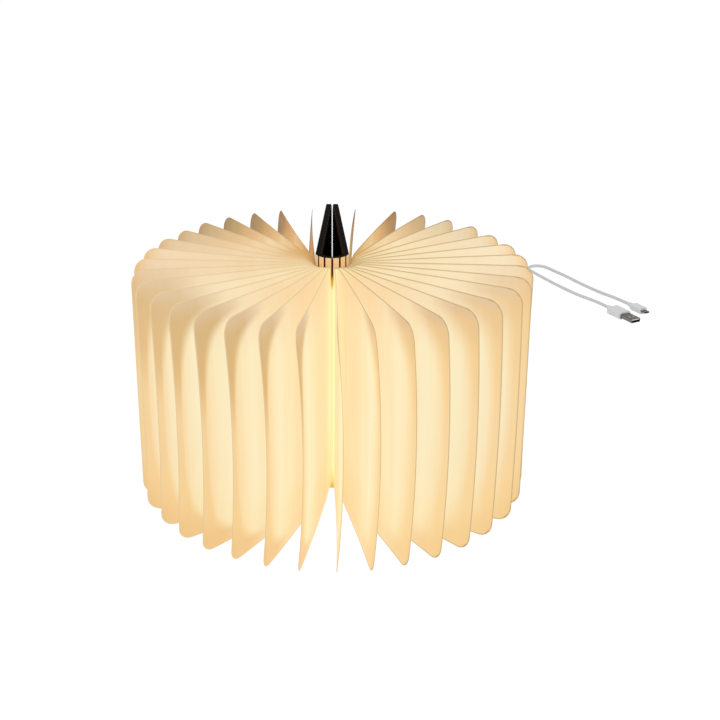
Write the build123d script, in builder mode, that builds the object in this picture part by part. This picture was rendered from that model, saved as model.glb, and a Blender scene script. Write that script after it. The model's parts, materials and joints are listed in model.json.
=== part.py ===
# Folding book lamp, opened right round: its two covers lie back to back behind it,
# and its translucent leaves stand out all round from a spine of six hinged slats.
# Millimetres, +Z up, front at -Y. The origin is on the surface under the fan's middle.
from build123d import *
import os
from math import asin, atan2, cos, degrees, hypot, pi, radians, sin, tan

os.makedirs("parts", exist_ok=True)

# Leaves
leaf_count = 34
leaf_length = 147.0
leaf_square = 3.4          # the covers stand this far beyond the leaves, above and below
leaf_thickness = 0.25
leaf_corner = 12.0
leaf_curl = 5.0            # how far the two outer corners lean out of the flat leaf
leaf_start = 0.15          # the leaf's edge, from its own root line
root_relief = 5.2          # inner corners are cut this much lower than the leaf
root_relief_run = 11.0
fan_half_angle = 175.0     # the end leaves, measured from the front
front_lean = 2.5           # the front of the fan is turned to the left by this
front_crowding = 1.2       # leaves stand closer together at the front
first_leaf_turn = -1.5     # the end leaves lie closer to their covers than the rest
last_leaf_turn = 4.0
closed_leaf_pitch = 0.455  # at the fore edge of the shut book

# Spine slats and cover boards
slats_per_side = 3
slat_pitch = 5.5
slat_inner = 1.5           # from the hinge line to the inner face
slat_outer = 3.0           # from the hinge line to the outer face
hinge_gap = 0.2
side_margin = 0.6          # extra slope of a slat's side walls, in degrees
board_height = 202.0
board_corner = 10.0
board_edge = 0.5
cover_length = 148.0
cover_gap = 0.6            # between the outer faces at the fore edge, opened
closed_bend = 180.0 / (2 * slats_per_side + 1)
closed_bulge = 0.2         # each slat's outer face is rounded by this

# Roots of the leaves on the slats
outer_slat_leaves = 5      # on the slats beside the covers, 6 on the others
inner_slat_leaves = 6
root_half_width = 1.75     # the first and last root of a slat, from its middle
root_least_height = 0.4
root_step = 0.1
leaf_clearance = 0.12
rib_gap = 0.3              # from a root line to the rib under it
rib_thickness = 0.3
rib_end = 12.0             # from the slat's end to the ribs

# Light
groove_width = 3.9
groove_depth = 1.2
groove_end = 8.0
strip_width = 3.4
strip_thickness = 0.3
chip_length = 2.0
chip_width = 1.4
chip_height = 0.35
chip_pitch = 12.0
diffuser_thickness = 0.45
groove_clearance = 0.05

# Battery, board and magnets in the cover boards
pocket_length = 66.0
pocket_height = 92.0
pocket_depth = 3.3
pocket_start = 26.0        # from the hinge line
pocket_bottom = 24.0       # above the board's lower edge
panel_thickness = 0.5
panel_lip = 3.0
battery_length = 56.0
battery_height = 62.0
battery_thickness = 2.4
board_length = 24.0
board_depth = 20.0
circuit_thickness = 0.8
socket_width = 7.5
socket_depth = 5.6
socket_thickness = 2.4
socket_wall = 0.3
sensor_size = 3.0
sensor_thickness = 0.9
magnet_radius = 4.0
magnet_thickness = 2.0
magnet_edge = 14.0         # from the fore edge, and from the top and bottom
fit = 0.3

# USB lead, laid out on the surface behind the lamp and to its right
cord_diameter = 3.5
lead_place = (250.0, 552.0)
lead_turn = -62.8          # direction of the strands from their bend to the plugs
wide_grip = (15.6, 8.0, 22.0)
wide_grip_corner = 2.4
wide_shell = (12.0, 4.5, 18.5)
shell_wall = 0.35
tongue = (11.0, 1.8, 17.5)
small_grip = (10.6, 7.0, 17.0)
small_grip_corner = 2.2
small_shell = (6.9, 1.85, 6.4)
small_shell_wall = 0.3
relief_diameter = 5.4
relief_length = 6.0
bend_share = 0.45          # of each straight run, taken up by the bend at its end


# Plan of the fold. A point in plan is a complex number, x + 1j * y, and an azimuth is in
# degrees from the front, positive to the right.
def ahead(azimuth):
    return complex(sin(radians(azimuth)), -cos(radians(azimuth)))


def across(azimuth):
    return complex(cos(radians(azimuth)), sin(radians(azimuth)))


def dot(first, second):
    return first.real * second.real + first.imag * second.imag


def hinge_radius(bend):
    return slat_pitch / 2 / sin(radians(bend / 2))


def fore_edge_offset(bend):
    # how far a cover's outer face is from the middle plane at its fore edge
    slope = (slats_per_side + 0.5) * bend - 90
    start = hinge_radius(bend) * sin(radians(slats_per_side * bend))
    return start - slat_outer / cos(radians(slope)) - cover_length * sin(radians(slope))


def find_open_bend():
    low, high = closed_bend, closed_bend + 3
    for _ in range(50):
        middle = (low + high) / 2
        if fore_edge_offset(middle) > cover_gap / 2:
            low = middle
        else:
            high = middle
    return middle


open_bend = find_open_bend()
hinge_travel = open_bend + closed_bend
closed_azimuth = (open_bend + closed_bend) / 2
open_radius = hinge_radius(open_bend)
closed_radius = hinge_radius(closed_bend)

# The carriers of the leaves: number 0 is the lit slat, right of the middle hinge.
first_carrier = -slats_per_side
last_carrier = slats_per_side - 1
left_cover = first_carrier - 1
right_cover = last_carrier + 1


def carrier_place(number, fold):
    """The hinge line that a slat or cover starts from, seen from the middle, and the azimuth
    of its inner face. fold is 0 opened right round and 1 shut. The lit slat stays still."""
    bend = open_bend - hinge_travel * fold
    point = -1j * open_radius
    facing = open_bend / 2
    side = 1 if number >= 0 else -1
    if side < 0:
        facing -= bend
    steps = number if number >= 0 else -number - 1
    for _ in range(steps):
        point += side * slat_pitch * across(facing)
        facing += side * bend
    return point, facing, side


def inner_wall():
    return slat_inner * tan(radians(closed_bend / 2 + side_margin))


def outer_wall():
    return slat_outer * tan(radians(open_bend / 2 + side_margin))


def on_carrier(number, fold, along, height):
    # along runs from the hinge line that is nearer the middle, height from the hinge plane
    point, facing, side = carrier_place(number, fold)
    return point + side * along * across(facing) + height * ahead(facing)


# Roots
leaves_on = {number: inner_slat_leaves for number in range(first_carrier, last_carrier + 1)}
leaves_on[first_carrier] = outer_slat_leaves
leaves_on[last_carrier] = outer_slat_leaves
leaf_carrier = []
leaf_offset = []
for number in range(first_carrier, last_carrier + 1):
    count = leaves_on[number]
    for place in range(count):
        spread = root_half_width * (2 * place / (count - 1) - 1)
        leaf_carrier.append(number)
        leaf_offset.append(slat_pitch / 2 + (spread if number >= 0 else -spread))
middle_leaf = (leaf_count - 1) / 2
leaf_height_on_slat = [root_least_height] * leaf_count


def open_azimuth(leaf):
    share = (leaf - middle_leaf) / middle_leaf
    azimuth = (fan_half_angle * share - front_lean * (1 - share**2)
               - front_crowding * sin(2 * pi * share))
    if leaf == 0:
        azimuth += first_leaf_turn
    if leaf == leaf_count - 1:
        azimuth += last_leaf_turn
    return azimuth


def root_point(leaf, fold):
    return on_carrier(leaf_carrier[leaf], fold, leaf_offset[leaf],
                      slat_inner + leaf_height_on_slat[leaf])


closed_middle = -1j * open_radius + closed_radius * ahead(closed_azimuth)


def shut_azimuth(leaf):
    # shut, the outer edges lie evenly side by side, with room for the lean of the corners
    sideways = dot(root_point(leaf, 1) - closed_middle, across(closed_azimuth))
    wanted = (leaf - middle_leaf) * closed_leaf_pitch + leaf_curl / 2
    return closed_azimuth + degrees((wanted - sideways) / leaf_length)


def leaf_azimuth(leaf, fold):
    return (1 - fold) * open_azimuth(leaf) + fold * shut_azimuth(leaf)


def clears(leaf, neighbour, side):
    # the leaf passes outside its neighbour's root and the corners of the slats that it leans over
    for fold in (0, 0.25, 0.5, 0.75, 1):
        root = root_point(leaf, fold)
        azimuth = leaf_azimuth(leaf, fold)
        outward = side * across(azimuth)
        forward = ahead(azimuth)
        points = []
        if neighbour is not None:
            points.append((root_point(neighbour, fold), leaf_thickness + leaf_clearance))
        carrier = leaf_carrier[leaf]
        while left_cover <= carrier <= right_cover:
            for along in (inner_wall() + hinge_gap / 2, slat_pitch - inner_wall() - hinge_gap / 2):
                corner = on_carrier(carrier, fold, along, slat_inner)
                points.append((corner, leaf_thickness / 2 + leaf_clearance))
            carrier += side
        for point, least in points:
            if dot(point - root, forward) > 0 and dot(point - root, outward) < least:
                return False
    return True


def raise_roots(leaves, side):
    neighbour = None
    for leaf in leaves:
        while not clears(leaf, neighbour, side):
            leaf_height_on_slat[leaf] += root_step
        neighbour = leaf


raise_roots(range(leaf_count - 1, leaf_count // 2 - 1, -1), 1)
raise_roots(range(leaf_count // 2), -1)

# The opened fan reaches further to the front than the covers to the back
front_leaves = (leaf_count // 2 - 1, leaf_count // 2)
front_reach = max(abs(root_point(leaf, 0).imag) for leaf in front_leaves) + leaf_length
back_reach = on_carrier(right_cover, 0, cover_length, slat_inner).imag
spine_y = (front_reach - back_reach) / 2
# End of the plan


def in_model(point, height=0.0):
    return (point.real, point.imag + spine_y, height)


# Leaf: a flat sheet whose upper and lower outer corners are rolled back along the lines from
# its inner corners to the middle of its outer edge
leaf_height = board_height - 2 * leaf_square
roll_run = leaf_length * (leaf_height / 2) / hypot(leaf_length, leaf_height / 2)
roll_radius = roll_run**2 / (2 * leaf_curl)
roll_angle = degrees(asin(roll_run / roll_radius)) + 1
roll_line = degrees(atan2(leaf_height / 2, leaf_length))
half = leaf_thickness / 2
roll_direction = Vector(leaf_length, 0, -leaf_height / 2).normalized()
roll_across = Vector(leaf_height / 2, 0, leaf_length).normalized()
roll_plane = Plane(origin=Vector(0, 0, leaf_height / 2), x_dir=roll_across, z_dir=roll_direction)
band_width = leaf_length * sin(radians(roll_line)) + leaf_height

with BuildPart() as upper_half:
    with BuildSketch(roll_plane):
        with BuildLine():
            flat = Line((-band_width, 0), (0, 0))
            JernArc(flat @ 1, flat % 1, roll_radius, roll_angle)
            offset(amount=half, side=Side.BOTH)
        make_face()
    extrude(amount=2 * leaf_height, both=True)
    with BuildSketch(Plane.XZ):
        with BuildLine():
            Polyline(
                (leaf_start, 0), (leaf_length, 0), (leaf_length, leaf_height / 2),
                (root_relief_run, leaf_height / 2),
                (leaf_start, leaf_height / 2 - root_relief), close=True,
            )
        make_face()
        fillet(vertices().group_by(Axis.X)[-1].sort_by(Axis.Y)[-1], leaf_corner)
    extrude(amount=4 * leaf_curl, both=True, mode=Mode.INTERSECT)

with BuildPart() as plain_leaf:
    add(upper_half.part)
    mirror(about=Plane.XY)


def place_leaf(leaf):
    point = in_model(root_point(leaf, 0), board_height / 2)
    with BuildPart() as placed:
        with Locations(Location(point, (0, 0, open_azimuth(leaf) - 90))):
            add(plain_leaf.part)
    return placed.part


for leaf in range(leaf_count):
    name = f"leaf_{leaf + 1:02d}"
    page = place_leaf(leaf)
    page.label = name
    export_step(page, f"parts/{name}.step")


# Slats and boards
def plan_points(number, length):
    # the outline in plan, from the hinge line near the middle
    near = hinge_gap / 2
    far = length - near
    inner = inner_wall()
    outer = outer_wall()
    points = [(near, 0), (near + inner, slat_inner)]
    if length == slat_pitch:
        points += [(far - inner, slat_inner), (far, 0), (far - outer, -slat_outer)]
    else:
        points += [(length, slat_inner), (length, -slat_outer)]
    points += [(near + outer, -slat_outer)]
    return [in_model(on_carrier(number, 0, x, y))[:2] for x, y in points]


def face_plane(number, depth=0.0):
    # on the inner face at mid height, X away from the middle hinge along the face
    point, facing, side = carrier_place(number, 0)
    origin = in_model(point + (slat_inner - depth) * ahead(facing), board_height / 2)
    away = side * across(facing)
    normal = ahead(facing)
    return Plane(origin=origin, x_dir=(away.real, away.imag, 0), z_dir=(normal.real, normal.imag, 0))


def ribs_of(number):
    # each leaf's root lies over a thin rib, where it stands high enough to need one
    ribs = []
    for leaf in range(leaf_count):
        height = leaf_height_on_slat[leaf] - rib_gap
        if leaf_carrier[leaf] == number and height > rib_thickness:
            ribs.append((leaf_offset[leaf], height))
    return ribs


def make_slat(number):
    with BuildPart() as slat:
        with BuildSketch():
            with BuildLine():
                points = plan_points(number, slat_pitch)
                Polyline(*points[-1:], *points[:-1])
                bulge = on_carrier(number, 0, slat_pitch / 2, -slat_outer - closed_bulge)
                ThreePointArc(points[-2], in_model(bulge)[:2], points[-1])
            make_face()
        extrude(amount=board_height)
    return slat.part


rib_length = board_height - 2 * rib_end
slat_names = {
    -3: "slat_left_outer", -2: "slat_left_middle", -1: "slat_left_inner",
    0: "led_slat", 1: "slat_right_middle", 2: "slat_right_outer",
}
for number, name in slat_names.items():
    with BuildPart() as slat:
        add(make_slat(number))
        if number == 0:
            with BuildSketch(face_plane(0)):
                with Locations((slat_pitch / 2, 0)):
                    Rectangle(groove_width, board_height - 2 * groove_end)
            extrude(amount=-groove_depth, mode=Mode.SUBTRACT)
        else:
            for along, height in ribs_of(number):
                with BuildSketch(face_plane(number)):
                    with Locations((along, 0)):
                        Rectangle(rib_thickness, rib_length)
                extrude(amount=height)
    slat.part.label = name
    export_step(slat.part, f"parts/{name}.step")

# LED strip, its chips and the diffuser over them
groove_length = board_height - 2 * groove_end
with BuildPart() as led_strip:
    with BuildSketch(face_plane(0, groove_depth)):
        with Locations((slat_pitch / 2, 0)):
            Rectangle(strip_width, groove_length - 2 * fit)
    extrude(amount=strip_thickness)
led_strip.part.label = "led_strip"
export_step(led_strip.part, "parts/led_strip.step")

chip_count = int((groove_length - chip_pitch) // chip_pitch)
with BuildPart() as led_chips:
    with BuildSketch(face_plane(0, groove_depth - strip_thickness)):
        with Locations((slat_pitch / 2, 0)):
            with GridLocations(chip_pitch, chip_pitch, 1, chip_count):
                Rectangle(chip_width, chip_length)
    extrude(amount=chip_height)
led_chips.part.label = "led_chips"
export_step(led_chips.part, "parts/led_chips.step")

with BuildPart() as diffuser:
    with BuildSketch(face_plane(0, diffuser_thickness)):
        with Locations((slat_pitch / 2, 0)):
            Rectangle(groove_width - 2 * groove_clearance, groove_length - 2 * fit)
    extrude(amount=diffuser_thickness)
    for along, height in ribs_of(0):
        with BuildSketch(face_plane(0)):
            with Locations((along, 0)):
                Rectangle(rib_thickness, rib_length)
        extrude(amount=height)
diffuser.part.label = "diffuser"
export_step(diffuser.part, "parts/diffuser.step")


magnet_places = [
    (cover_length - magnet_edge, board_height / 2 - magnet_edge),
    (cover_length - magnet_edge, magnet_edge - board_height / 2),
]


def make_board(number):
    with BuildPart() as board:
        with BuildSketch(face_plane(number)):
            with Locations((cover_length / 2, 0)):
                Rectangle(cover_length, board_height)
            fillet(vertices().group_by(Axis.X)[-1], board_corner)
        extrude(amount=-(slat_inner + slat_outer))
        through = faces().sort_by(Axis(face_plane(number).origin, face_plane(number).z_dir))
        chamfer(through[-1].edges() + through[0].edges(), board_edge)
        with BuildSketch():
            Polygon(*plan_points(number, cover_length), align=None)
        extrude(amount=board_height, mode=Mode.INTERSECT)
        with BuildSketch(face_plane(number)):
            with Locations(*magnet_places):
                Circle(magnet_radius + groove_clearance)
        extrude(amount=-magnet_thickness, mode=Mode.SUBTRACT)
    return board.part


def make_magnets(number):
    with BuildPart() as magnets:
        with BuildSketch(face_plane(number)):
            with Locations(*magnet_places):
                Circle(magnet_radius)
        extrude(amount=-magnet_thickness)
    return magnets.part


for number, name in ((left_cover, "left"), (right_cover, "right")):
    magnets = make_magnets(number)
    magnets.label = f"{name}_magnets"
    export_step(magnets, f"parts/{name}_magnets.step")

with BuildPart() as left_board:
    add(make_board(left_cover))
left_board.part.label = "left_cover_board"
export_step(left_board.part, "parts/left_cover_board.step")

# The right cover's pocket, closed by a panel, holds the battery and the charge board
pocket_x = pocket_start + pocket_length / 2
pocket_z = pocket_bottom + pocket_height / 2 - board_height / 2
socket_x = pocket_start + board_length / 2 + fit
channel_top = pocket_bottom - board_height / 2
with BuildPart() as right_board:
    add(make_board(right_cover))
    with BuildSketch(face_plane(right_cover)):
        with Locations((pocket_x, pocket_z)):
            Rectangle(pocket_length + 2 * panel_lip, pocket_height + 2 * panel_lip)
    extrude(amount=-panel_thickness, mode=Mode.SUBTRACT)
    with BuildSketch(face_plane(right_cover)):
        with Locations((pocket_x, pocket_z)):
            Rectangle(pocket_length, pocket_height)
    extrude(amount=-(panel_thickness + pocket_depth), mode=Mode.SUBTRACT)
    with BuildSketch(face_plane(right_cover, panel_thickness)):
        with Locations((socket_x, (channel_top - board_height / 2) / 2)):
            Rectangle(board_length + 2 * fit, channel_top + board_height / 2)
    extrude(amount=-pocket_depth, mode=Mode.SUBTRACT)
    with BuildSketch(face_plane(right_cover)):
        with Locations((socket_x, (channel_top - board_height / 2) / 2)):
            Rectangle(board_length + 2 * fit, channel_top + board_height / 2)
    extrude(amount=-panel_thickness, mode=Mode.SUBTRACT)
right_board.part.label = "right_cover_board"
export_step(right_board.part, "parts/right_cover_board.step")

with BuildPart() as pocket_panel:
    with BuildSketch(face_plane(right_cover)):
        with Locations((pocket_x, pocket_z)):
            Rectangle(
                pocket_length + 2 * (panel_lip - groove_clearance),
                pocket_height + 2 * (panel_lip - groove_clearance),
            )
        with Locations((socket_x, (channel_top - board_height / 2) / 2)):
            Rectangle(board_length, channel_top + board_height / 2)
    extrude(amount=-panel_thickness)
pocket_panel.part.label = "pocket_panel"
export_step(pocket_panel.part, "parts/pocket_panel.step")

pocket_floor = panel_thickness + pocket_depth
with BuildPart() as charge_board:
    with BuildSketch(face_plane(right_cover, pocket_floor)):
        with Locations((socket_x, board_depth / 2 - board_height / 2 + fit)):
            Rectangle(board_length, board_depth)
    extrude(amount=circuit_thickness)
charge_board.part.label = "charge_board"
export_step(charge_board.part, "parts/charge_board.step")

with BuildPart() as charge_socket:
    with BuildSketch(face_plane(right_cover, pocket_floor - circuit_thickness)):
        with Locations((socket_x, socket_depth / 2 - board_height / 2 + fit)):
            Rectangle(socket_width, socket_depth)
    extrude(amount=socket_thickness)
    mouth = charge_socket.faces().sort_by(Axis.Z)[0]
    with BuildSketch(Plane(mouth)):
        Rectangle(socket_thickness - 2 * socket_wall, socket_width - 2 * socket_wall)
    extrude(amount=-(socket_depth - socket_wall), mode=Mode.SUBTRACT)
charge_socket.part.label = "charge_socket"
export_step(charge_socket.part, "parts/charge_socket.step")

with BuildPart() as hall_sensor:
    with BuildSketch(face_plane(right_cover, pocket_floor - circuit_thickness)):
        with Locations((socket_x, board_depth - sensor_size - board_height / 2)):
            Rectangle(sensor_size, sensor_size)
    extrude(amount=sensor_thickness)
hall_sensor.part.label = "hall_sensor"
export_step(hall_sensor.part, "parts/hall_sensor.step")

with BuildPart() as battery:
    with BuildSketch(face_plane(right_cover, pocket_floor)):
        with Locations((pocket_x, pocket_z)):
            RectangleRounded(battery_length, battery_height, 2 * fit)
    extrude(amount=battery_thickness)
battery.part.label = "battery"
export_step(battery.part, "parts/battery.step")

# USB lead. Points are (to the right of the strands' middle, from the bend to the plugs, height)
low = cord_diameter / 2
wide_axis = wide_grip[1] / 2
small_axis = small_grip[1] / 2
lead_points = [
    (-10.5, 150, wide_axis), (-10.9, 128, wide_axis), (-12.6, 98, low), (-14.0, 66, low),
    (-13.6, 34, low), (-12.6, 13, low), (-12.0, -5, low), (-5.0, -12, low), (5.0, -12.2, low),
    (12.0, -5.1, low), (12.8, 12.5, low), (14.2, 36, low), (13.6, 70, low), (15.4, 103, low),
    (17.2, 132, small_axis), (17.5, 152, small_axis),
]


def lead_point(right, along, height):
    turn = radians(lead_turn)
    x = lead_place[0] + along * cos(turn) - right * sin(turn)
    y = lead_place[1] + along * sin(turn) + right * cos(turn)
    return Vector(x, y, height)


route = [lead_point(*point) for point in lead_points]
route_radii = []
for before, point, after in zip(route, route[1:], route[2:]):
    turn = (point - before).get_angle(after - point)
    run = min((point - before).length, (after - point).length)
    route_radii.append(bend_share * run / tan(radians(turn / 2)))
print("cord radii", [round(radius, 1) for radius in route_radii])

with BuildPart() as usb_cord:
    with BuildLine():
        cord_line = FilletPolyline(*route, radius=route_radii)
    with BuildSketch(Plane(origin=route[0], z_dir=route[1] - route[0])):
        Circle(cord_diameter / 2)
    sweep()
usb_cord.part.label = "usb_cord"
export_step(usb_cord.part, "parts/usb_cord.step")
section = pi * cord_diameter**2 / 4
print("cord volume", usb_cord.part.volume, "section times length", section * cord_line.length)


def end_plane(end, before, distance=0.0):
    outward = (end - before).normalized()
    flat_across = Vector(0, 0, 1).cross(outward)
    return Plane(origin=end + outward * distance, x_dir=flat_across, z_dir=outward)


def make_grip(plane, size, corner):
    with BuildPart() as grip:
        with BuildSketch(plane):
            Circle(relief_diameter / 2)
        extrude(amount=relief_length)
        with BuildSketch(plane.offset(relief_length)):
            RectangleRounded(size[0], size[1], corner)
        extrude(amount=size[2])
        shoulder = grip.faces().sort_by(Axis(plane.origin, plane.z_dir))[2]
        fillet(shoulder.outer_wire().edges(), corner / 2)
    return grip.part


def make_shell(plane, size, wall):
    with BuildPart() as shell:
        with BuildSketch(plane):
            RectangleRounded(size[0], size[1], 2 * wall)
            Rectangle(size[0] - 2 * wall, size[1] - 2 * wall, mode=Mode.SUBTRACT)
        extrude(amount=size[2])
    return shell.part


wide_end = end_plane(route[0], route[1])
wide_usb_grip = make_grip(wide_end, wide_grip, wide_grip_corner)
wide_usb_grip.label = "usb_wide_grip"
export_step(wide_usb_grip, "parts/usb_wide_grip.step")

wide_mouth = wide_end.offset(relief_length + wide_grip[2])
wide_usb_shell = make_shell(wide_mouth, wide_shell, shell_wall)
wide_usb_shell.label = "usb_wide_shell"
export_step(wide_usb_shell, "parts/usb_wide_shell.step")

with BuildPart() as usb_tongue:
    with BuildSketch(wide_mouth):
        with Locations((0, (wide_shell[1] - tongue[1]) / 2 - shell_wall)):
            Rectangle(tongue[0], tongue[1])
    extrude(amount=tongue[2])
usb_tongue.part.label = "usb_wide_tongue"
export_step(usb_tongue.part, "parts/usb_wide_tongue.step")

small_end = end_plane(route[-1], route[-2])
small_usb_grip = make_grip(small_end, small_grip, small_grip_corner)
small_usb_grip.label = "usb_small_grip"
export_step(small_usb_grip, "parts/usb_small_grip.step")

small_mouth = small_end.offset(relief_length + small_grip[2])
small_usb_shell = make_shell(small_mouth, small_shell, small_shell_wall)
small_usb_shell.label = "usb_small_shell"
export_step(small_usb_shell, "parts/usb_small_shell.step")
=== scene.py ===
import bpy
import json
import math
from mathutils import Matrix, Vector


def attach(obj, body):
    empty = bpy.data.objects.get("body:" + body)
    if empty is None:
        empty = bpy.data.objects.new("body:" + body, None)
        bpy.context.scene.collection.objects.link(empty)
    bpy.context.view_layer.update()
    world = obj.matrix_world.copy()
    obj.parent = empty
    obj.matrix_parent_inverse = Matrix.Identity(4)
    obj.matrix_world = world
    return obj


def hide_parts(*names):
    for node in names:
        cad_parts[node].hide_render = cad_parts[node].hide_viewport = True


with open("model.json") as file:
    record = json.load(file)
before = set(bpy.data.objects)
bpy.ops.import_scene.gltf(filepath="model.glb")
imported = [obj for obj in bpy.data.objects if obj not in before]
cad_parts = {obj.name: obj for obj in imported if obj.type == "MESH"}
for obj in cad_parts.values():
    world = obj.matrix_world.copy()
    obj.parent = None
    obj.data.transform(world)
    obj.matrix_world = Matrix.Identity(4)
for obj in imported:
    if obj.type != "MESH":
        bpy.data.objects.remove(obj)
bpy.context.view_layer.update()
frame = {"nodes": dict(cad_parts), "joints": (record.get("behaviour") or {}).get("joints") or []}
nodes = frame["nodes"]
bpy.ops.object.select_all(action="DESELECT")
print("frame loaded")

mm = 0.001
boardHeight = 202.0  # mm, of the cover boards and slats, which stand on the floor


# small helpers for materials
def toLinear(hexColor):
    parts = [int(hexColor[i:i + 2], 16) / 255 for i in (1, 3, 5)]
    linear = [c / 12.92 if c <= 0.04045 else ((c + 0.055) / 1.055) ** 2.4 for c in parts]
    return (*linear, 1.0)


def addNode(material, kind, inputs=None, stops=None, easing="EASE", **settings):
    # one node with its settings. An input takes a value, a socket, or a node, which stands for
    # its first output. The stops and their easing are a colour ramp's.
    tree = material.node_tree
    node = tree.nodes.new(kind)
    for name, value in settings.items():
        setattr(node, name, value)
    for name, value in (inputs or {}).items():
        if isinstance(value, bpy.types.Node):
            value = value.outputs[0]
        if isinstance(value, bpy.types.NodeSocket):
            tree.links.new(value, node.inputs[name])
        else:
            node.inputs[name].default_value = value
    if stops:
        node.color_ramp.interpolation = easing
        elements = node.color_ramp.elements
        while len(elements) > 1:
            elements.remove(elements[-1])
        elements[0].position, elements[0].color = stops[0][0], toLinear(stops[0][1])
        for position, color in stops[1:]:
            elements.new(position).color = toLinear(color)
    return node


def newMaterial(name):
    material = bpy.data.materials.new(name)
    material.use_nodes = True
    material.node_tree.nodes.clear()
    return material


def finishMaterial(material, shader, height, depthMm, strength):
    # the height's bump and the output
    bump = addNode(material, "ShaderNodeBump", {
        "Strength": strength, "Distance": depthMm * mm, "Height": height})
    material.node_tree.links.new(bump.outputs["Normal"], shader.inputs["Normal"])
    addNode(material, "ShaderNodeOutputMaterial", {"Surface": shader})
    return material


# camera, fitted to the photograph: 23.3 degrees above the level, 1.15 m from the origin
cameraLook = {
    "place": (0.0, -1.015, 0.5395),
    "elevation": 23.29,
    "sensor": 36,
    "lens": 68.12,
    "shiftX": 0.0386,
    "shiftY": 0.0176,
}


def makeCamera(look):
    data = bpy.data.cameras.new("lampCamera")
    data.sensor_width = look["sensor"]
    data.lens = look["lens"]
    data.shift_x = look["shiftX"]
    data.shift_y = look["shiftY"]
    camera = bpy.data.objects.new("lampCamera", data)
    camera.location = look["place"]
    camera.rotation_euler = (math.radians(90 - look["elevation"]), 0, 0)
    bpy.context.scene.collection.objects.link(camera)
    bpy.context.scene.camera = camera


makeCamera(cameraLook)
print("camera placed")

# USB lead, on the route of its CAD tube
lead = {
    "place": (250.0, 552.0),  # mm, the middle between the strands
    "turn": -62.8,            # direction of the strands from their bend to the plugs
    "diameter": 3.5,
    "low": 1.75,              # height of the cord's axis where it lies on the floor
    "wideAxis": 4.0,          # and in the wide and the small plug
    "smallAxis": 3.5,
    "length": 0.3405,         # m, between the plugs
    "roundness": 6,
    "smoothness": 10,
}


def leadPoint(right, along, height):
    # right of the strands' middle, along them from their bend, and up, all in mm
    turn = math.radians(lead["turn"])
    x = lead["place"][0] + along * math.cos(turn) - right * math.sin(turn)
    y = lead["place"][1] + along * math.sin(turn) + right * math.cos(turn)
    return Vector((x, y, height)) * mm


low = lead["low"]
leadPoints = [
    (-10.5, 150, lead["wideAxis"]), (-10.9, 128, lead["wideAxis"]), (-12.6, 98, low),
    (-14.0, 66, low), (-13.6, 34, low), (-12.6, 13, low), (-12.0, -5, low), (-5.0, -12, low),
    (5.0, -12.2, low), (12.0, -5.1, low), (12.8, 12.5, low), (14.2, 36, low), (13.6, 70, low),
    (15.4, 103, low), (17.2, 132, lead["smallAxis"]), (17.5, 152, lead["smallAxis"]),
]


def makeLead():
    curve = bpy.data.curves.new("usbLead", "CURVE")
    curve.dimensions = "3D"
    # the width is on the points, so that the curve's own box is the cord's
    curve.bevel_depth = 1.0
    curve.bevel_resolution = lead["roundness"]
    curve.resolution_u = lead["smoothness"]
    curve.use_fill_caps = True
    spline = curve.splines.new("NURBS")
    spline.points.add(len(leadPoints) - 1)
    for point, place in zip(spline.points, leadPoints):
        point.co = (*leadPoint(*place), 1)
        point.radius = lead["diameter"] / 2 * mm
    spline.order_u = 3
    spline.use_endpoint_u = True
    cord = bpy.data.objects.new("usbLead", curve)
    bpy.context.scene.collection.objects.link(cord)
    return cord


usbLead = makeLead()
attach(usbLead, "led_slat")
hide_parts("usb_cord")
print("lead laid")

# leaves: one smooth sheet, placed on each leaf's own root line. Lengths in mm
leafShape = {
    "length": 147.0,
    "height": 195.2,
    "bottom": 3.4,       # above the floor
    "start": 0.15,       # from the root line
    "thickness": 0.25,
    "corner": 12.0,
    "cornerSteps": 12,
    "curl": 5.0,         # lean of the outer corners
    "relief": 5.2,       # inner corners are cut this much lower than the leaf
    "reliefRun": 11.0,
    "columns": 22,
    "rows": 26,
}


def curlDepth(along, height):
    # the corners roll away from the flat sheet beyond the line from the inner corner to mid edge
    length, half = leafShape["length"], leafShape["height"] / 2
    run = length * half / math.hypot(length, half)
    away = abs(height - half)
    distance = (along * half - (half - away) * length) / math.hypot(length, half)
    return leafShape["curl"] * (max(distance, 0) / run) ** 2


def rimDistances(along, height):
    # how far a point of the sheet is from its rim, and the mean of that to side and end
    length, tall, corner = leafShape["length"], leafShape["height"], leafShape["corner"]
    side, end = length - along, min(height, tall - height)
    if side < corner and end < corner:
        rim = corner - math.hypot(corner - side, corner - end)
    else:
        rim = min(side, end)
    return rim, math.sqrt(max(side * end, 0))


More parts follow.
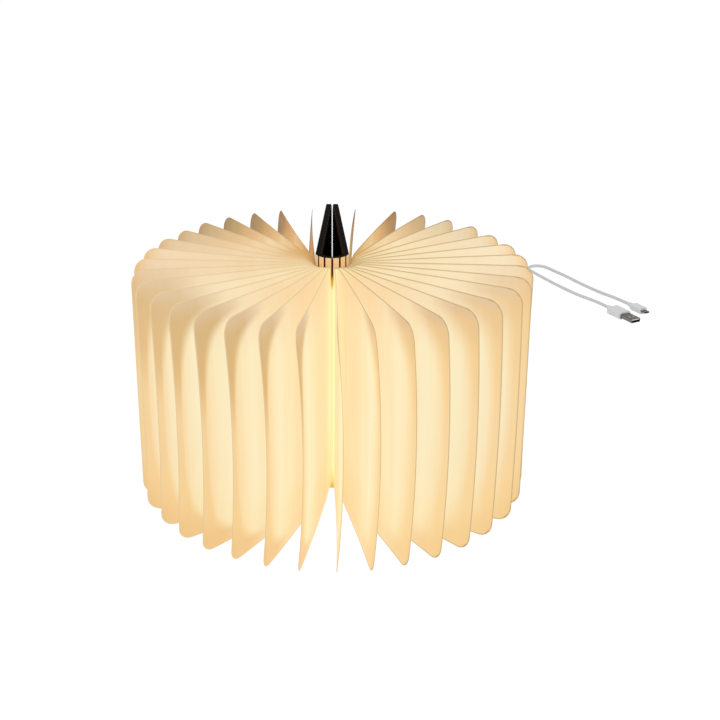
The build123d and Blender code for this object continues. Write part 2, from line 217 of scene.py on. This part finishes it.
def makePlainLeaf():
    # a lying plate with its two outer corners rounded, cut into columns and rows
    length, height = leafShape["length"] * mm, leafShape["height"] * mm
    bpy.ops.mesh.primitive_plane_add(size=1, location=(0, 0, 0))
    leaf = bpy.context.object
    leaf.name = "plainLeaf"
    bpy.ops.object.mode_set(mode="EDIT")
    bpy.ops.transform.resize(value=(length, height, 1))
    bpy.ops.transform.translate(value=(length / 2, height / 2, 0))
    bpy.context.tool_settings.mesh_select_mode = (True, False, False)
    bpy.ops.mesh.select_all(action="DESELECT")
    bpy.ops.object.mode_set(mode="OBJECT")
    for vertex in leaf.data.vertices:
        vertex.select = vertex.co.x > length / 2
    bpy.ops.object.mode_set(mode="EDIT")
    bpy.ops.mesh.bevel(offset=leafShape["corner"] * mm, offset_type="OFFSET",
                       segments=leafShape["cornerSteps"], affect="VERTICES")
    columns, rows = leafShape["columns"], leafShape["rows"]
    for column in range(1, columns):
        bpy.ops.mesh.select_all(action="SELECT")
        bpy.ops.mesh.bisect(plane_co=(length * column / columns, 0, 0), plane_no=(1, 0, 0))
    for row in range(1, rows):
        bpy.ops.mesh.select_all(action="SELECT")
        bpy.ops.mesh.bisect(plane_co=(0, height * row / rows, 0), plane_no=(0, 1, 0))
    bpy.ops.object.mode_set(mode="OBJECT")
    return leaf


def shapePlainLeaf(leaf):
    # stores each point's place on the sheet as UV, cuts the inner corners back, then rolls
    length, height = leafShape["length"] * mm, leafShape["height"] * mm
    mesh = leaf.data
    while mesh.uv_layers:
        mesh.uv_layers.remove(mesh.uv_layers[0])
    uv = mesh.uv_layers.new(name="sheetPlace")
    for loop in mesh.loops:
        point = mesh.vertices[loop.vertex_index].co
        uv.data[loop.index].uv = (point.x / length, point.y / height)
    run, relief, middle = leafShape["reliefRun"] * mm, leafShape["relief"] * mm, height / 2
    rims, corners = [], []
    for vertex in mesh.vertices:
        x, z = vertex.co.x, vertex.co.y
        rim, corner = rimDistances(x / mm, z / mm)
        rims.append(rim)
        corners.append(corner)
        if x < run:
            z = middle + (z - middle) * (middle - relief * (1 - x / run)) / middle
        depth = curlDepth(x / mm, vertex.co.y / mm)
        vertex.co = (max(x, leafShape["start"] * mm), -depth * mm, z + leafShape["bottom"] * mm)
    mesh.attributes.new("sheetRim", "FLOAT", "POINT").data.foreach_set("value", rims)
    mesh.attributes.new("sheetCorner", "FLOAT", "POINT").data.foreach_set("value", corners)
    solid = leaf.modifiers.new("sheet", "SOLIDIFY")
    solid.thickness = leafShape["thickness"] * mm
    solid.offset = 0
    solid.use_even_offset = True
    bpy.context.view_layer.objects.active = leaf
    bpy.ops.object.modifier_apply(modifier="sheet")
    bpy.ops.object.mode_set(mode="EDIT")
    bpy.ops.mesh.select_all(action="SELECT")
    bpy.ops.mesh.normals_make_consistent(inside=False)
    bpy.ops.object.mode_set(mode="OBJECT")
    # 1 on the side towards rising azimuth, 0 on the other one, 0.5 on the cut edge
    sides = [0.5 + 0.5 * max(-1, min(1, face.normal.y * 4)) for face in leaf.data.polygons]
    leaf.data.attributes.new("sheetSide", "FLOAT", "FACE").data.foreach_set("value", sides)
    for face in leaf.data.polygons:
        face.use_smooth = abs(face.normal.y) > 0.5


def leafPlace(name):
    # root line and direction of a CAD leaf, from its joint and both sides of its outer edge
    joint = next(j for j in frame["joints"] if j["child"] == name)
    root = Vector(joint["pos_m"])
    middle = (leafShape["bottom"] + leafShape["height"] / 2) * mm
    reach = Vector((0, 0))
    for vertex in nodes[name].data.vertices:
        if abs(vertex.co.z - middle) < 0.5 * mm:
            reach += Vector((vertex.co.x - root.x, vertex.co.y - root.y))
    return root, math.atan2(reach.y, reach.x)


def makeLeaves():
    plainLeaf = makePlainLeaf()
    shapePlainLeaf(plainLeaf)
    made = []
    for name in sorted(name for name in nodes if name.startswith("leaf_")):
        root, turn = leafPlace(name)
        mesh = plainLeaf.data.copy()
        mesh.transform(Matrix.Translation((root.x, root.y, 0)) @ Matrix.Rotation(turn, 4, "Z"))
        # how far the leaf is turned from the front, 0 there and 1 at the covers
        away = abs(math.atan2(math.cos(turn), -math.sin(turn))) / math.pi
        mesh.attributes.new("sheetTurn", "FLOAT", "POINT").data.foreach_set(
            "value", [away] * len(mesh.vertices))
        leaf = bpy.data.objects.new("sheet_" + name[-2:], mesh)
        bpy.context.scene.collection.objects.link(leaf)
        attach(leaf, name)
        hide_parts(name)
        made.append(leaf)
    bpy.data.objects.remove(plainLeaf)
    return made


leaves = makeLeaves()
print("leaves placed", len(leaves))

# the leaves' sheet. Along runs from root to outer edge, up from bottom to top, and turn from the
# front to the covers. Rising and falling are the sides towards rising and falling azimuth.
sheetLook = {
    "surface": "#3c342b",
    # painted glow of the strip's light, by the distance from the root, for leaves in front and at
    # the sides
    "alongFront": [(0.0, "#ffeea6"), (0.035, "#fff6bc"), (0.1, "#ffe8ac"), (0.25, "#ffe1aa"),
                   (0.5, "#ffe2ae"), (0.68, "#ffebbc"), (0.8, "#ffeec4"), (0.865, "#feeaba"),
                   (0.92, "#fde2ae"), (0.96, "#fcdaa2"), (1.0, "#f8d298")],
    "alongSide": [(0.0, "#f6dc96"), (0.1, "#ffe9b0"), (0.3, "#ffefc0"), (0.68, "#fff0c8"),
                  (0.87, "#fff2cc"), (0.92, "#feecc2"), (0.95, "#fde2b2"), (0.975, "#fad8a2"),
                  (1.0, "#f6d098")],
    "frontTurn": (0.08, 0.36),
    # painted shade near the bottom and the top
    "up": [(0.0, "#fcf0de"), (0.12, "#fffaf0"), (0.3, "#ffffff"), (0.8, "#ffffff"),
           (1.0, "#fcf6f6")],
    # painted shade on the upper parts on the left
    "leftShade": "#f8f0ec",
    "leftUp": (0.6, 0.95),
    "leftTurn": (0.3, 0.5),
    # painted shade on the rolled corners, which sets in between these mean distances from side and
    # end
    "risingCorner": [(0.0, "#f2c684"), (0.2, "#fad496"), (0.5, "#f8d49a"), (0.8, "#dfb678"),
                     (0.92, "#d8b67e"), (1.0, "#dec09a")],
    "fallingCorner": [(0.0, "#f8d090"), (0.2, "#fdda9c"), (0.5, "#fbd9a0"), (0.8, "#f8d294"),
                      (0.93, "#eec88e"), (1.0, "#e4c298")],
    "risingReach": (23.0, 15.0),
    "fallingReach": (30.0, 10.0),
    "cornerAlong": (0.6, 0.86),
    # where this is white, on the leaves at the sides, the painted corner shade is left out
    "sidePale": [(0.0, "#000000"), (0.2, "#000000"), (0.38, "#808080"), (0.56, "#ffffff"),
                 (0.78, "#ffffff"), (0.93, "#303030"), (1.0, "#000000")],
    # a painted shade line along the cut edge, and its width
    "risingRim": "#eacf9e",
    "fallingRim": "#c4a674",
    "rimReach": (1.3, 0.0),
    # painted shade on the leaves behind, and on their tips
    "backShade": [(0.0, "#ffffff"), (0.8, "#ffffff"), (0.93, "#eddcc0"), (0.965, "#ccb074"),
                  (1.0, "#c0a050")],
    "tipShade": [(0.0, "#e4ceaa"), (0.2, "#ecdabc"), (0.35, "#fdf6ec"), (0.45, "#ffffff"),
                 (0.55, "#f5e6d2"), (0.7, "#e4d1b2"), (0.85, "#c6b894"), (0.94, "#b3aa92"),
                 (1.0, "#a6a08c")],
    "risingTips": [(0.0, "#000000"), (0.57, "#000000"), (0.63, "#888888"), (0.69, "#b4b4b4"),
                   (0.75, "#e0e0e0"), (0.8, "#ffffff"), (1.0, "#ffffff")],
    "fallingTips": [(0.0, "#000000"), (0.63, "#000000"), (0.7, "#6c6c6c"), (0.76, "#989898"),
                    (0.86, "#c8c8c8"), (0.93, "#ffffff"), (1.0, "#ffffff")],
    "streakMm": (14.0, 90.0),
    "streak": [(0.3, "#fefbf6"), (0.6, "#ffffff")],
    "glow": 0.9,
    "roughness": 0.62,
    "ior": 1.49,
    "fibreMm": 2.2,
    "fibreDetail": 4.0,
    "fibreRoughness": 0.6,
    "fibreDepthMm": 0.06,
    "fibreBump": 0.25,
}


def sheetMaterial(look):
    # flash-spun olefin leaves, calendered: matt. The strip's light through them is a painted glow,
    # palest deep between them, with painted tan shade where corners and rims pass less light, over
    # a dark surface colour. Its real fibres are too fine to show, so they are drawn 2.2 mm wide
    material = newMaterial("spunOlefinSheet")
    place = addNode(material, "ShaderNodeUVMap", uv_map="sheetPlace")
    split = addNode(material, "ShaderNodeSeparateXYZ", {"Vector": place})
    along, up = split.outputs["X"], split.outputs["Y"]
    corner, rim, side, turn = [
        addNode(material, "ShaderNodeAttribute", attribute_name=name).outputs["Fac"]
        for name in ("sheetCorner", "sheetRim", "sheetSide", "sheetTurn")]
    color = {
        name: addNode(material, "ShaderNodeValToRGB", {"Fac": source}, look[name])
        for source, names in (
            (along, ("alongFront", "alongSide", "tipShade")),
            (up, ("up", "risingCorner", "fallingCorner")),
            (turn, ("sidePale", "backShade", "risingTips", "fallingTips")))
        for name in names}
    # each goes smoothly from 0 to 1 between the two values
    sideways, leftUp, leftTurn, fallingCorner, risingCorner, outward, onRim = [
        addNode(material, "ShaderNodeMapRange",
                {"Value": source, "From Min": look[name][0], "From Max": look[name][1]},
                interpolation_type="SMOOTHSTEP")
        for source, name in (
            (turn, "frontTurn"), (up, "leftUp"), (turn, "leftTurn"), (corner, "fallingReach"),
            (corner, "risingReach"), (along, "cornerAlong"), (rim, "rimReach"))]
    onLeft = addNode(material, "ShaderNodeMath", {0: side, 1: leftUp}, operation="MULTIPLY")
    onLeft = addNode(material, "ShaderNodeMath", {0: onLeft, 1: leftTurn}, operation="MULTIPLY")
    # painted shade: the rolled corners pass less light, with a sharper bound on the rising side
    dull = addNode(material, "ShaderNodeMath", {0: 1.0, 1: color["sidePale"]},
                   operation="SUBTRACT")
    inCorner = addNode(material, "ShaderNodeMix", {
        "Factor": side, "A": fallingCorner, "B": risingCorner}, data_type="FLOAT")
    inCorner = addNode(material, "ShaderNodeMath", {0: inCorner, 1: dull}, operation="MULTIPLY")
    inCorner = addNode(material, "ShaderNodeMath", {0: inCorner, 1: outward},
                       operation="MULTIPLY")
    cornerColor, rimColor, tips = [
        addNode(material, "ShaderNodeMixRGB", {"Fac": side, "Color1": falling, "Color2": rising})
        for falling, rising in (
            (color["fallingCorner"], color["risingCorner"]),
            (toLinear(look["fallingRim"]), toLinear(look["risingRim"])),
            (color["fallingTips"], color["risingTips"]))]
    # long faint streaks of the sheet
    wide, tall = look["streakMm"]
    stretch = addNode(material, "ShaderNodeMapping", {
        "Scale": (leafShape["length"] / wide, leafShape["height"] / tall, 1), "Vector": place})
    streak = addNode(material, "ShaderNodeTexNoise", {
        "Scale": 1.0, "Detail": 2.0, "Vector": stretch})
    streakColor = addNode(material, "ShaderNodeValToRGB", {"Fac": streak.outputs["Fac"]},
                          look["streak"])
    light = color["alongFront"]
    for share, laidOn, kind in (
            (sideways, color["alongSide"], "MIX"),
            (1.0, color["up"], "MULTIPLY"),
            (onLeft, toLinear(look["leftShade"]), "MULTIPLY"),  # painted shade, a little duller and pinker
            (inCorner, cornerColor, "MIX"),
            (onRim, rimColor, "MIX"),  # a fine painted shade line, darker on the falling side
            (1.0, color["backShade"], "MULTIPLY"),
            (tips, color["tipShade"], "MULTIPLY"),  # painted shade, those on the left get darkest
            (1.0, streakColor, "MULTIPLY")):
        light = addNode(material, "ShaderNodeMixRGB", {
            "Fac": share, "Color1": light, "Color2": laidOn}, blend_type=kind)
    position = addNode(material, "ShaderNodeTexCoord")
    fibre = addNode(material, "ShaderNodeTexNoise", {
        "Scale": 1 / (look["fibreMm"] * mm), "Detail": look["fibreDetail"],
        "Roughness": look["fibreRoughness"], "Vector": position.outputs["Object"]})
    shader = addNode(material, "ShaderNodeBsdfPrincipled", {
        "Base Color": toLinear(look["surface"]), "Roughness": look["roughness"],
        "IOR": look["ior"], "Emission Strength": look["glow"], "Emission Color": light})
    return finishMaterial(material, shader, fibre.outputs["Fac"], look["fibreDepthMm"],
                          look["fibreBump"])


sheet = sheetMaterial(sheetLook)
for leaf in leaves:
    leaf.data.materials.clear()
    leaf.data.materials.append(sheet)
print("sheet material made")


def colorByHeight(material, position, stops):
    # a colour that follows the height, from 0 at the floor to 1 at the boards' top
    split = addNode(material, "ShaderNodeSeparateXYZ", {"Vector": position})
    height = addNode(material, "ShaderNodeMath", {
        0: split.outputs["Z"], 1: 1 / (boardHeight * mm)}, operation="MULTIPLY")
    return addNode(material, "ShaderNodeValToRGB", {"Fac": height}, stops)


def grainedMaterial(name, look):
    # two close colours mixed by a fine grain, which also gives the bump
    material = newMaterial(name)
    position = addNode(material, "ShaderNodeTexCoord").outputs["Object"]
    grain = addNode(material, "ShaderNodeTexNoise", {
        "Scale": 1 / (look["grainMm"] * mm), "Detail": look.get("detail", 3.0),
        "Vector": position}).outputs["Fac"]
    color = addNode(material, "ShaderNodeValToRGB", {"Fac": grain},
                    [(0.35, look["colors"][0]), (0.65, look["colors"][1])], "LINEAR")
    inputs = {"Roughness": look["roughness"], "Metallic": look.get("metallic", 0.0)}
    if "specular" in look:
        inputs["Specular IOR Level"] = look["specular"]
    # a painted highlight: the edge colour laid on in bands by height
    if "edge" in look:
        band = colorByHeight(material, position, look["edgeBand"])
        color = addNode(material, "ShaderNodeMixRGB", {
            "Fac": band, "Color1": color, "Color2": toLinear(look["edge"])})
    if "glow" in look:
        inputs["Emission Strength"] = look["glow"]
        inputs["Emission Color"] = colorByHeight(material, position, look["glowStops"])
    inputs["Base Color"] = color
    shader = addNode(material, "ShaderNodeBsdfPrincipled", inputs)
    return finishMaterial(material, shader, grain, look.get("depthMm", 0.05),
                          look.get("bump", 0.2))


# what the strip in led_slat lights: bright between its ends, dark beyond them
liningGlow = [(0.0, "#e8c070"), (0.04, "#ffe08c"), (0.1, "#ffeca8"), (0.86, "#ffeeb0"),
              (0.895, "#f8d470"), (0.92, "#c08a30"), (0.938, "#96641c"), (0.948, "#b39662"),
              (1.0, "#c2a978")]
kerfGlow = [(0.0, "#d8a850"), (0.04, "#ffe090"), (0.1, "#fff2b4"), (0.86, "#fff2b4"),
            (0.9, "#d8a040"), (0.935, "#4c2c0a"), (0.96, "#150805"), (1.0, "#150805")]
finishLook = {
    # woven book cloth: near black and nearly without shine, with a painted highlight in bands near
    # the boards' top and bottom ends. Its threads are too fine to show, so the weave is drawn 0.5
    # mm wide
    "bookCloth": {
        "colors": ("#090402", "#0f0804"), "grainMm": 0.5, "detail": 4.0, "roughness": 0.55,
        # the edge colour, laid by the band below, is a painted highlight near the boards' top and
        # bottom
        "specular": 0.015, "bump": 0.3, "edge": "#4c3622",
        "edgeBand": [(0.0, "#000000"), (0.004, "#ffffff"), (0.03, "#000000"), (0.945, "#000000"),
                     (0.98, "#a0a0a0"), (0.996, "#ffffff"), (0.9985, "#000000"),
                     (1.0, "#000000")]},
    # unbleached kraft paper, pasted on the slats: matt tan, yellow where the strip shines on it
    "kraftLining": {
        "colors": ("#b98e60", "#c79c6e"), "grainMm": 1.2, "depthMm": 0.04, "roughness": 0.7,
        "glow": 0.7, "glowStops": liningGlow},
    # the cloth between the slats: dark red brown, with light in it lower down
    "kerfCloth": {
        "colors": ("#1c0a08", "#2a100c"), "grainMm": 1.2, "depthMm": 0.04, "roughness": 0.7,
        "glow": 0.95, "glowStops": kerfGlow},
    # extruded opal acrylic: a smooth warm white glow that hides the single lights
    "opalDiffuser": {
        "colors": ("#fff0c0", "#fff6d8"), "grainMm": 1.2, "depthMm": 0.04, "roughness": 0.4,
        "glow": 0.9, "glowStops": liningGlow},
    # printed solder mask on the light strip: even white with a soft shine
    "whiteSolderMask": {"colors": ("#efeee8", "#f6f5f0"), "grainMm": 0.8, "roughness": 0.4},
    # cast silicone with phosphor: smooth warm yellow
    "phosphorChip": {"colors": ("#ffd060", "#ffdf85"), "grainMm": 0.5, "roughness": 0.3},
    # nickel plated magnets: pale, clouded mirror
    "nickelPlate": {
        "colors": ("#b2b3b5", "#c2c3c5"), "grainMm": 0.6, "roughness": 0.3, "metallic": 1.0},
    # laminated aluminium pouch of the battery: grey with slow waves
    "pouchFoil": {
        "colors": ("#84888c", "#9aa0a5"), "grainMm": 3.0, "roughness": 0.35, "metallic": 0.8},
    # printed solder mask on the board: dark glossy green
    "greenSolderMask": {"colors": ("#174a2c", "#1f5c39"), "grainMm": 0.8, "roughness": 0.35},
    # stamped stainless steel of the socket: bright, with a rolled haze
    "stampedSteel": {
        "colors": ("#b9bbbe", "#c9cbcd"), "grainMm": 0.5, "roughness": 0.3, "metallic": 1.0},
    # moulded epoxy of the sensor: matt black with a sandy skin
    "mouldedEpoxy": {"colors": ("#1b1b1d", "#262629"), "grainMm": 0.3, "roughness": 0.5},
    # moulded white PVC of the plugs: satin, nearly even
    "whiteMouldedPvc": {
        "colors": ("#dfe0e2", "#e6e7e9"), "grainMm": 0.5, "roughness": 0.4, "bump": 0.05},
    # extruded white PVC of the cord: a little greyer and duller than the plugs
    "whitePvcJacket": {
        "colors": ("#d2d3d6", "#d9dadc"), "grainMm": 0.8, "roughness": 0.42, "bump": 0.03},
    # nickel plated steel of the plugs' shells: mirrors the pale floor; its dark warm grey is a
    # painted reflection
    "nickelPlatedShell": {
        "colors": ("#736d64", "#827c72"), "grainMm": 0.4, "roughness": 0.25, "metallic": 1.0},
    # moulded nylon of the wide plug's insert, in the shade of its shell: dull warm grey
    "shadedInsert": {"colors": ("#b4b1a8", "#bebbb2"), "grainMm": 0.4, "roughness": 0.5},
}
finishes = {name: grainedMaterial(name, look) for name, look in finishLook.items()}

nodeFinishes = {
    "diffuser": "opalDiffuser", "led_strip": "whiteSolderMask", "led_chips": "phosphorChip",
    "left_magnets": "nickelPlate", "right_magnets": "nickelPlate", "battery": "pouchFoil",
    "charge_board": "greenSolderMask", "charge_socket": "stampedSteel",
    "hall_sensor": "mouldedEpoxy", "left_cover_board": "bookCloth",
    "right_cover_board": "bookCloth", "pocket_panel": "bookCloth",
    "usb_wide_grip": "whiteMouldedPvc", "usb_small_grip": "whiteMouldedPvc",
    "usb_wide_tongue": "whiteMouldedPvc", "usb_wide_shell": "nickelPlatedShell",
    "usb_small_shell": "nickelPlatedShell",
}
for name, finish in nodeFinishes.items():
    mesh = nodes[name].data
    mesh.materials.clear()
    mesh.materials.append(finishes[finish])
usbLead.data.materials.append(finishes["whitePvcJacket"])
print("finishes made", len(finishes))

# the wide plug's two latch windows, through which its pale insert shows. Lengths in mm
window = {
    "side": 2.3,
    "deep": 0.1,
    "edge": 0.03,
    "apart": 5.2,
    "along": 189.0,   # places as in leadPoint
    "middle": -9.8,
    "top": 6.27,
}


def makeWindows():
    size = window["side"] * mm
    bpy.ops.mesh.primitive_cube_add(size=1, location=(0, 0, 0))
    plain = bpy.context.object
    bpy.ops.object.mode_set(mode="EDIT")
    bpy.ops.transform.resize(value=(size, size, window["deep"] * mm))
    bpy.ops.mesh.bevel(offset=window["edge"] * mm, segments=2, affect="EDGES")
    bpy.ops.object.mode_set(mode="OBJECT")
    turn = Matrix.Rotation(math.radians(lead["turn"]), 4, "Z")
    for name, sideways in (("plugWindow_left", -1), ("plugWindow_right", 1)):
        middle = leadPoint(window["middle"] + sideways * window["apart"] / 2, window["along"],
                           window["top"] - window["deep"] / 2)
        mesh = plain.data.copy()
        mesh.transform(Matrix.Translation(middle) @ turn)
        mesh.materials.append(finishes["shadedInsert"])
        plate = bpy.data.objects.new(name, mesh)
        bpy.context.scene.collection.objects.link(plate)
        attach(plate, "led_slat")
    bpy.data.objects.remove(plain)


makeWindows()
print("plug windows made")

# spine: slats of the CAD shape with a rod of cloth in each hinge, from the left cover to the right
spine = {
    "slats": ["slat_left_outer", "slat_left_middle", "slat_left_inner", "led_slat",
              "slat_right_middle", "slat_right_outer"],
    "folds": ["left_cover_fold", "slat_left_outer_fold", "slat_left_middle_fold",
              "slat_left_inner_fold", "slat_right_middle_fold", "slat_right_outer_fold",
              "right_cover_fold"],
    "kerfHeight": 0.2,    # mm inside the hinges, where a slat's cloth ends and its kerf starts
    "liningFacing": 0.9,  # a face turned inwards by more than this is lining
    "sideFacing": -0.1,   # and by more than this a side
    "rodRadius": 0.1,     # of the cloth in a hinge
    "rodLength": 200.0,
    "rodSides": 12,
}
foldPlaces = [next(Vector(j["pos_m"][:2]) for j in frame["joints"] if j["name"] == fold)
              for fold in spine["folds"]]


def dressSlat(name, first, last):
    # book cloth outside and on the ends, kraft lining inside, dark cloth on the sides
    slat = bpy.data.objects.new("cloth_" + name, nodes[name].data.copy())
    bpy.context.scene.collection.objects.link(slat)
    slat.data.materials.clear()
    for finish in ("bookCloth", "kraftLining", "kerfCloth"):
        slat.data.materials.append(finishes[finish])
    along = (last - first).normalized()
    inward = Vector((along.y, -along.x))
    for face in slat.data.polygons:
        facing = face.normal.to_2d().dot(inward)
        height = (face.center.to_2d() - first).dot(inward) / mm
        isInside = height > spine["kerfHeight"]
        isUpright = abs(face.normal.z) < 0.5
        if facing > spine["liningFacing"] and isInside:
            face.material_index = 1
        elif isUpright and (isInside or facing > spine["sideFacing"]):
            face.material_index = 2
        else:
            face.material_index = 0
    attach(slat, name)
    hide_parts(name)


def makeHingeRods():
    # the folded cloth of a hinge, which closes the slit between two slats; lit on its inside
    bpy.ops.mesh.primitive_cylinder_add(
        vertices=spine["rodSides"], radius=spine["rodRadius"] * mm,
        depth=spine["rodLength"] * mm, location=(0, 0, 0))
    plain = bpy.context.object
    slats = spine["slats"]
    for index, place in enumerate(foldPlaces):
        before = foldPlaces[max(index - 1, 0)]
        after = foldPlaces[min(index + 1, len(foldPlaces) - 1)]
        inward = Vector((after.y - before.y, before.x - after.x))
        mesh = plain.data.copy()
        mesh.transform(Matrix.Translation((place.x, place.y, boardHeight / 2 * mm)))
        for finish in ("bookCloth", "kerfCloth"):
            mesh.materials.append(finishes[finish])
        for face in mesh.polygons:
            face.material_index = 1 if face.normal.to_2d().dot(inward) > 0 else 0
        rod = bpy.data.objects.new("hingeCloth_%d" % (index + 1), mesh)
        bpy.context.scene.collection.objects.link(rod)
        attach(rod, slats[min(index, len(slats) - 1)])
    bpy.data.objects.remove(plain)


for slatName, first, last in zip(spine["slats"], foldPlaces, foldPlaces[1:]):
    dressSlat(slatName, first, last)
makeHingeRods()
print("spine dressed", len(spine["slats"]))

# floor, world and lamps
studio = {
    "floorSize": 8.0,
    "floorDrop": 0.2,         # mm under the lamp
    "floorColor": "#f0f0f0",
    "floorWhite": 1.05,
    "floorShadow": 0.06,      # share of the floor that shows the lamp's shadow
    "worldLevel": 0.6,
    "lamps": {"keyLamp": ((-0.9, -1.2, 1.6), 14.0), "fillLamp": ((1.3, -0.6, 1.2), 7.0)},
    "lampSize": 1.4,
    "lampAim": (0, 0, 0.1),
}


def makeFloor():
    # plain painted board: white where it is seen, and matt where it lights the lamp
    bpy.ops.mesh.primitive_plane_add(size=studio["floorSize"],
                                     location=(0, 0, -studio["floorDrop"] * mm))
    floor = bpy.context.object
    floor.name = "floor"
    material = newMaterial("paleFloor")
    rays = addNode(material, "ShaderNodeLightPath")
    seen = addNode(material, "ShaderNodeEmission", {
        "Color": (1, 1, 1, 1), "Strength": studio["floorWhite"]})
    matte = addNode(material, "ShaderNodeBsdfDiffuse", {"Color": toLinear(studio["floorColor"])})
    mixed = addNode(material, "ShaderNodeMixShader", {
        "Fac": studio["floorShadow"], 1: seen, 2: matte})
    direct = rays.outputs["Is Camera Ray"]
    for kind in ("Is Glossy Ray", "Is Transmission Ray"):
        direct = addNode(material, "ShaderNodeMath", {0: direct, 1: rays.outputs[kind]},
                         operation="MAXIMUM")
    final = addNode(material, "ShaderNodeMixShader", {"Fac": direct, 1: matte, 2: mixed})
    addNode(material, "ShaderNodeOutputMaterial", {"Surface": final})
    floor.data.materials.append(material)


def makeWorld():
    world = bpy.data.worlds.new("studio")
    world.use_nodes = True
    world.node_tree.nodes.clear()
    bpy.context.scene.world = world
    rays = addNode(world, "ShaderNodeLightPath")
    plain, white = [
        addNode(world, "ShaderNodeBackground", {"Color": (1, 1, 1, 1), "Strength": strength})
        for strength in (studio["worldLevel"], 1.0)]
    mix = addNode(world, "ShaderNodeMixShader", {
        "Fac": rays.outputs["Is Camera Ray"], 1: plain, 2: white})
    addNode(world, "ShaderNodeOutputWorld", {"Surface": mix})


def addLamp(name, place, power):
    data = bpy.data.lights.new(name, "AREA")
    data.size = studio["lampSize"]
    data.energy = power
    lamp = bpy.data.objects.new(name, data)
    lamp.location = place
    aim = Vector(studio["lampAim"]) - Vector(place)
    lamp.rotation_euler = aim.to_track_quat("-Z", "Y").to_euler()
    bpy.context.scene.collection.objects.link(lamp)


makeFloor()
makeWorld()
for lampName, (lampPlace, lampPower) in studio["lamps"].items():
    addLamp(lampName, lampPlace, lampPower)

bpy.context.scene.view_settings.view_transform = "Standard"
print("scene ready")
